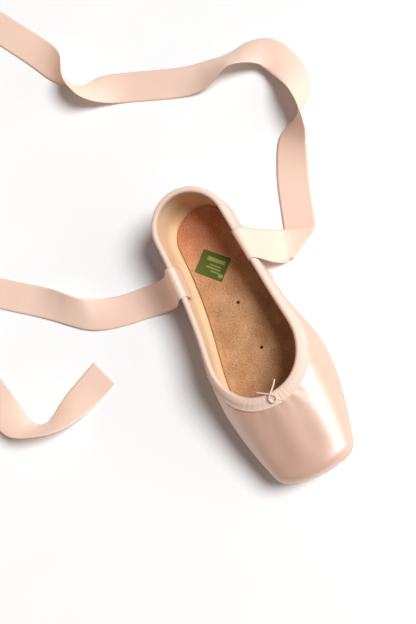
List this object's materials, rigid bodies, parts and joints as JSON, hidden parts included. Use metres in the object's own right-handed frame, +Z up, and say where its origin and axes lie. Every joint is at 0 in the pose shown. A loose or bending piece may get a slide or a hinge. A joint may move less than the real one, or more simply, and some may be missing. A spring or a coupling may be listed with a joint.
{
  "type": "pointe shoe",
  "caption": "Satin pointe shoe with a stiff flat-ended box, leather outsole, bound collar, drawstring and ribbons lying on the floor.",
  "frame": {"origin": "on the floor under the middle of the shoe, measured without ribbons and drawstring", "axes": "+Y towards the toe, +Z up, +X towards the left of someone looking from the toe to the heel"},
  "size_m": [0.3651, 0.4794, 0.0547],
  "materials": {
    "satin": "glossy satin weave",
    "casing": "folded satin casing",
    "tape": "stitched satin tape",
    "seam": "double-stitched satin seam",
    "sole_leather": "smooth tan leather",
    "insole_cover": "brown woven cover",
    "tack_steel": "dark tack head",
    "cord_cotton": "thin cotton cord",
    "ribbon_satin": "satin ribbon"
  },
  "bodies": {
    "root": {"upper": "satin", "outsole": "sole_leather", "insole": "insole_cover", "collar_binding": "casing", "heel_tape": "tape", "side_seam_left": "seam", "side_seam_right": "seam", "insole_tack_1": "tack_steel", "insole_tack_2": "tack_steel", "drawstring": "cord_cotton", "ribbon_left": "ribbon_satin", "ribbon_right": "ribbon_satin"}
  },
  "joints": []
}
